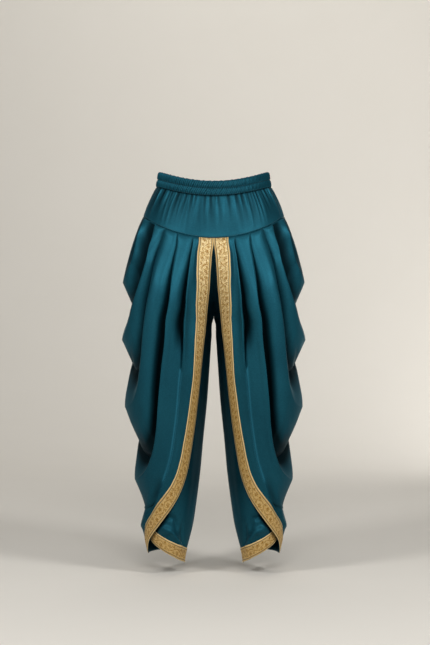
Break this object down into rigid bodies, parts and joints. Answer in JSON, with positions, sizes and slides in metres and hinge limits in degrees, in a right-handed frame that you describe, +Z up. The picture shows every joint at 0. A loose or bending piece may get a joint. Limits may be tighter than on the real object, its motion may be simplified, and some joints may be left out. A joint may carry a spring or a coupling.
{
  "type": "pleated wrap trousers",
  "caption": "Draped wrap trousers with a gathered waistband, hip yoke, pleated cowl legs and a woven border, filled out as worn.",
  "frame": {"origin": "middle of the waistband's ring, at half its height at the sides, where the wearer holds it", "axes": "+Z up, -Y the front, +X the wearer's left"},
  "size_m": [0.4692, 0.3365, 0.9982],
  "materials": {
    "satin": "smooth satin, teal, soft sheen",
    "brocade": "woven brocade, gold thread"
  },
  "bodies": {
    "root": {"waistband": "satin", "yoke_front": "satin", "yoke_back": "satin", "drape_left": "satin", "front_panel_left": "satin", "drape_right": "satin", "front_panel_right": "satin", "border_front_left": "brocade", "border_back_left": "brocade", "border_hem_left": "brocade", "border_front_right": "brocade", "border_back_right": "brocade", "border_hem_right": "brocade"}
  },
  "joints": []
}
